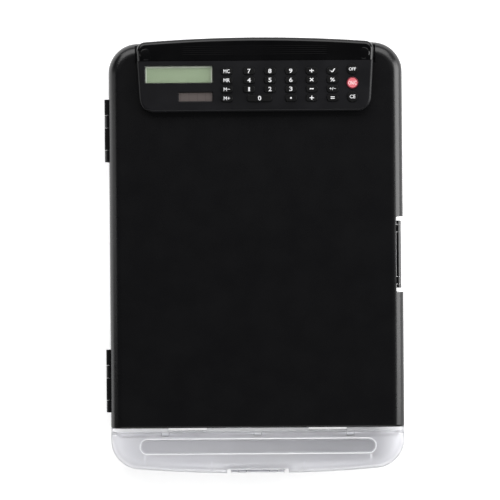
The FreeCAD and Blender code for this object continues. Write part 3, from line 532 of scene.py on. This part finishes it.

# %% [markdown]
# The key that switches the calculator on is the only coloured one. Its cap is dark red with a large pale red
# disc on its top, so that only a darker ring shows at its edge, and its words stand on that disc. The disc
# is a round of the printed thickness with a bevelled edge, so that it looks like a thin layer and not like a
# cut-out.

# %% The disc on the red key
pale_red_disc_finish = moulded_plastic(
    "pale_red_disc", "DE6E78", "E67C84", (0.35, 0.45), grain_mm=0.5, grain_depth_mm=0.002, IOR=1.5
)
disc_radius = 4.0 * mm
disc_edge = 0.008 * mm
red_low, red_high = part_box("key_on_clear")
disc_z = red_high.z + (print_thickness - print_sink) / 2
bpy.ops.object.select_all(action="DESELECT")
bpy.ops.mesh.primitive_cylinder_add(
    vertices=64, radius=disc_radius, depth=print_thickness + print_sink,
    location=((red_low.x + red_high.x) / 2, (red_low.y + red_high.y) / 2, disc_z)
)
red_disc = bpy.context.object
red_disc.name = "disc_on_clear"
bpy.ops.object.transform_apply(location=True, rotation=True, scale=True)
bpy.ops.object.mode_set(mode="EDIT")
bpy.ops.mesh.select_all(action="SELECT")
bpy.ops.mesh.bevel(offset=disc_edge, segments=2)
bpy.ops.object.mode_set(mode="OBJECT")
red_disc.data.materials.append(pale_red_disc_finish)
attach(red_disc, "key_on_clear")
print("red disc faces:", len(red_disc.data.polygons))

# %% [markdown]
# ## The grip strip of the jaw
#
# Under the front edge of the clip runs a soft strip that presses on the paper. The solid model has it as a
# plain bar. The real one has round edges and fine ribs that hold the sheets. A block is added at the
# strip's size and its edges are rounded with a bevel. One small rib is rounded in the same way, and an
# array copies it along the strip.


# %% Blocks with rounded edges
def new_block(name, low, high):
    """Adds a block between two corners, alone in the selection."""
    bpy.ops.object.select_all(action="DESELECT")
    bpy.ops.mesh.primitive_cube_add(size=1.0, location=(low + high) / 2)
    block = bpy.context.object
    block.name = name
    block.scale = high - low
    bpy.ops.object.transform_apply(location=True, rotation=True, scale=True)
    return block


def apply_bevel(piece, width_mm, segments=3):
    """Rounds the sharp edges of a piece with an applied bevel."""
    bevel = piece.modifiers.new("rounding", "BEVEL")
    bevel.width = width_mm * mm
    bevel.segments = segments
    bevel.limit_method = "ANGLE"
    bpy.ops.object.modifier_apply(modifier=bevel.name)


strip_low, strip_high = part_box("jaw_grip")
print("strip is", round((strip_high.x - strip_low.x) / mm, 1), "mm long")

# %% The grip strip
rib_drop = 0.15 * mm
rib_inset = 0.3 * mm
rib_height = 0.5 * mm
rib_count = 84
rib_share = 0.5
strip_rounding_mm = 0.4
rib_rounding_mm = 0.12
strip = new_block("ribbed_grip_strip", strip_low + Vector((0, 0, rib_drop)), strip_high)
apply_bevel(strip, strip_rounding_mm)
rib_step = (strip_high.x - strip_low.x) / (rib_count + 1)
rib_start = strip_low.x + rib_step * (1 - rib_share / 2)
rib_end = strip_low.x + rib_step * (1 + rib_share / 2)
rib_low = Vector((rib_start, strip_low.y + rib_inset, strip_low.z))
rib_high = Vector((rib_end, strip_high.y - rib_inset, strip_low.z + rib_height))
rib = new_block("grip_rib", rib_low, rib_high)
apply_bevel(rib, rib_rounding_mm, 2)
row = rib.modifiers.new("row", "ARRAY")
row.count = rib_count
row.use_relative_offset = False
row.use_constant_offset = True
row.constant_offset_displace = (rib_step, 0, 0)
bpy.ops.object.modifier_apply(modifier=row.name)
strip.select_set(True)
bpy.context.view_layer.objects.active = strip
bpy.ops.object.join()
strip.data.materials.clear()
strip.data.materials.append(finish["soft_rubber"])
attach(strip, "clip")
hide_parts("jaw_grip")
print("grip strip faces:", len(strip.data.polygons))

# %% [markdown]
# ## The caps on the lever's rear corners
#
# Above each end of the hinge the lever has a low round cap that rises towards the side of the box and is
# flush towards the middle, so its sloping flank shows as a crescent. A cone with its tip cut off has that
# flank. It is tilted by a few degrees, and a bevel rounds its upper edge.


# %% Hinge caps
def hinge_cap(name, x_mm, tilt):
    """A low round cap on the lever, centred over one end of the clip's hinge."""
    foot = lever_top - cap_sink
    bpy.ops.object.select_all(action="DESELECT")
    bpy.ops.mesh.primitive_cone_add(
        vertices=96, radius1=cap_radius, radius2=cap_radius - cap_slope, depth=cap_height + cap_sink,
        location=(x_mm * mm, cap_y, foot + (cap_height + cap_sink) / 2),
        rotation=[math.radians(angle) for angle in tilt]
    )
    cap = bpy.context.object
    cap.name = name
    bpy.ops.object.transform_apply(location=True, rotation=True, scale=True)
    apply_bevel(cap, cap_rounding_mm, 2)
    bpy.ops.object.shade_smooth_by_angle(angle=smooth_under)
    cap.data.materials.append(finish["gloss_black_plastic"])
    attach(cap, "clip")
    return cap


lever_top = 36.5 * mm
cap_height = 0.22 * mm
cap_sink = 0.7 * mm
cap_radius = 5.7 * mm
cap_slope = 1.1 * mm
cap_y = 170.0 * mm
cap_rounding_mm = 0.15
smooth_under = math.radians(30)
caps = [
    hinge_cap("left_hinge_cap", x_mm=-91.8, tilt=(-1.8, 3.0, 0)),
    hinge_cap("right_hinge_cap", x_mm=91.2, tilt=(-1.8, -3.0, 0)),
]
print("caps:", len(caps), "faces:", sum(len(cap.data.polygons) for cap in caps))

# %% [markdown]
# ## Floor
#
# The box lies on a plain pale floor that is far wider than it. For the light that falls on the box it is
# plain pale paper. For the camera it glows a little on top of the light that it gets, so the background
# is white while the box still casts its soft shadow.
#
# What mirrors the floor or lets it through would show that paper as dark, because the box stands in the way
# of the light. So the floor also glows for those rays, and never above the strength of white. Through the
# frosted plastic it is brightest at the edge of the box, where light gets in from the side, and it fades
# towards the middle and outwards. In gloss it is brighter towards the hinges and the clip.


# %% How the floor shows in the box
def seen_through(tree):
    """1 for what shows through frosted or clear plastic, and 0 for the light that falls on things."""
    rays = add_node(tree, "ShaderNodeLightPath").outputs
    straight = add_node(tree, "ShaderNodeMath", {1: 0.5}, {0: rays["Diffuse Depth"]}, operation="LESS_THAN")
    links = {0: rays["Is Transmission Ray"], 1: straight.outputs[0]}
    return add_node(tree, "ShaderNodeMath", links=links, operation="MULTIPLY").outputs[0]


def glow_through_plastic(tree, where):
    """The floor's glow through the plastic, by the distance inwards from the edge of the box."""
    folded = add_node(tree, "ShaderNodeVectorMath", links={0: where}, operation="ABSOLUTE").outputs[0]
    inward = add_node(tree, "ShaderNodeVectorMath", {0: case_half}, {1: folded}, operation="SUBTRACT")
    slower = add_node(
        tree, "ShaderNodeVectorMath", {1: inward_share}, {0: inward.outputs[0]}, operation="MULTIPLY"
    )
    sides = add_node(tree, "ShaderNodeSeparateXYZ", links={"Vector": slower.outputs[0]}).outputs
    inside = add_node(tree, "ShaderNodeMath", links={0: sides["X"], 1: sides["Y"]}, operation="MINIMUM")
    near = add_node(tree, "ShaderNodeMapRange", fade_inwards, {"Value": inside.outputs[0]})
    away = add_node(tree, "ShaderNodeMapRange", fade_outwards, {"Value": inside.outputs[0]})
    links = {0: near.outputs["Result"], 1: away.outputs["Result"]}
    under = add_node(tree, "ShaderNodeMath", links=links, operation="MULTIPLY").outputs[0]
    links = {0: seen_through(tree), 1: under}
    return add_node(tree, "ShaderNodeMath", links=links, operation="MULTIPLY").outputs[0]


def glow_in_gloss(tree, where):
    """The floor's glow where gloss mirrors it, from the foot on the right to the head on the left."""
    lean = add_node(tree, "ShaderNodeVectorMath", {1: lean_way}, {0: where}, operation="DOT_PRODUCT")
    across = add_node(tree, "ShaderNodeMapRange", fade_across, {"Value": lean.outputs["Value"]})
    rays = add_node(tree, "ShaderNodeLightPath").outputs
    links = {0: rays["Is Glossy Ray"], 1: across.outputs["Result"]}
    return add_node(tree, "ShaderNodeMath", links=links, operation="MULTIPLY").outputs[0]


case_half = (124.0 * mm, 184.0 * mm, 0.0)
inward_share = (0.45, 1.0, 1.0)
fade_inwards = {"From Min": 0.0, "From Max": 15.0 * mm, "To Min": 1.0, "To Max": 0.17}
fade_outwards = {"From Min": -130.0 * mm, "From Max": -40.0 * mm, "To Min": 0.55, "To Max": 1.0}
lean_way = (-4.0, 2.0, 0.0)
fade_across = {"From Min": -1.0, "From Max": 1.0, "To Min": 0.25, "To Max": 1.0}
print("glow at the edge and far inside:", fade_inwards["To Min"], fade_inwards["To Max"])


# %% Floor
def pale_floor():
    """A floor that is white to the camera, keeps the shadow, and shows in gloss and frosted plastic."""
    material = bpy.data.materials.new("pale_studio_paper")
    material.use_nodes = True
    tree = material.node_tree
    tree.nodes.clear()
    where = add_node(tree, "ShaderNodeTexCoord").outputs["Object"]
    camera_ray = add_node(tree, "ShaderNodeLightPath").outputs["Is Camera Ray"]
    seen = add_node(tree, "ShaderNodeMath", {1: floor_glow}, {0: camera_ray}, operation="MULTIPLY")
    links = {0: glow_in_gloss(tree, where), 1: glow_through_plastic(tree, where)}
    most = add_node(tree, "ShaderNodeMath", links=links, operation="MAXIMUM")
    links = {0: most.outputs[0], 1: seen.outputs[0]}
    glow = add_node(tree, "ShaderNodeMath", links=links, operation="MAXIMUM").outputs[0]
    paper = add_node(tree, "ShaderNodeBsdfDiffuse", {"Color": linear("E4E4E4")}).outputs[0]
    light = add_node(tree, "ShaderNodeEmission", {"Color": linear("FFFFFF")}, {"Strength": glow})
    both = add_node(tree, "ShaderNodeAddShader", links={0: paper, 1: light.outputs[0]})
    add_node(tree, "ShaderNodeOutputMaterial", links={"Surface": both.outputs[0]})
    return material


floor_glow = 0.66
floor_size = 8.0
floor_drop = 0.2 * mm
bpy.ops.object.select_all(action="DESELECT")
bpy.ops.mesh.primitive_plane_add(size=floor_size, location=(0, 0, -floor_drop))
floor = bpy.context.object
floor.name = "floor"
bpy.ops.object.transform_apply(location=True, rotation=True, scale=True)
floor.data.materials.append(pale_floor())
print("floor:", floor.name, "with", floor.data.materials[0].name)

# %% [markdown]
# ## Lamps
#
# Black gloss shows only what it mirrors. A lamp straight above would make the board grey, so the light
# comes from the sides. A large, strong soft box at the right draws the bright line along the round edge
# there, and a low, narrow one at the left draws a thinner line. A wide one at the head gives most of the
# light from above, and a weak one stands at the foot. All are outside the picture and face the box.


# %% Lamps
def soft_box(name, place, size, strength):
    """A rectangular lamp facing the box. Strength is its radiance, where a lit white sheet is 1."""
    bpy.ops.object.light_add(type="AREA", location=place)
    lamp = bpy.context.object
    lamp.name = name
    lamp.data.shape = "RECTANGLE"
    lamp.data.size, lamp.data.size_y = size
    lamp.data.energy = strength * math.pi * size[0] * size[1]
    lamp.rotation_euler = (lit_point - Vector(place)).to_track_quat("-Z", "Y").to_euler()
    return lamp


lit_point = Vector((0, 0, 20.0 * mm))
lamps = [
    soft_box("right_soft_box", place=(1.5, 0.25, 0.52), size=(0.95, 1.6), strength=6.0),
    soft_box("left_soft_box", place=(-1.3, 0.1, 0.14), size=(0.26, 1.7), strength=1.5),
    soft_box("head_soft_box", place=(0.0, 1.3, 1.1), size=(2.6, 1.3), strength=3.2),
    soft_box("foot_soft_box", place=(0.0, -1.4, 1.3), size=(1.6, 1.2), strength=1.5),
]
print("lamps:", len(lamps))

# %% [markdown]
# The air around adds a very weak even light. Through the frosted plastic it shows nearly white, as the
# floor does, so that an open lid stays pale against it.

# %% Air
air_light = 0.05
air_through_plastic = 0.9
world = bpy.data.worlds.new("studio_air")
bpy.context.scene.world = world
world.use_nodes = True
tree = world.node_tree
background = tree.nodes["Background"]
background.inputs["Color"].default_value = linear("FFFFFF")
strengths = {"To Min": air_light, "To Max": air_through_plastic}
air_glow = add_node(tree, "ShaderNodeMapRange", strengths, {"Value": seen_through(tree)})
tree.links.new(air_glow.outputs["Result"], background.inputs["Strength"])
print("world:", world.name)

# %% [markdown]
# ## Camera
#
# The photograph looks straight down on the box from far away: the floor shows through the narrow slots at
# the foot, which a near camera would not see. The box is turned by less than half a degree. The lens is
# worked out from the distance and the width of the picture.

# %% Camera
camera_distance = 3.2
picture_width = 422.6 * mm
sensor_width_mm = 36.0
roll = math.radians(0.42)
aim = Vector((-5.44 * mm, 4.91 * mm, 20.0 * mm))
bpy.ops.object.camera_add(location=aim + camera_distance * Vector((0, 0, 1)), rotation=(0, 0, -roll))
camera = bpy.context.object
camera.name = "camera"
camera.data.sensor_width = sensor_width_mm
camera.data.lens = sensor_width_mm * camera_distance / picture_width
camera.data.clip_start = 0.05
bpy.context.scene.camera = camera
bpy.context.scene.view_settings.view_transform = "Standard"
print("lens:", round(camera.data.lens, 1), "mm")
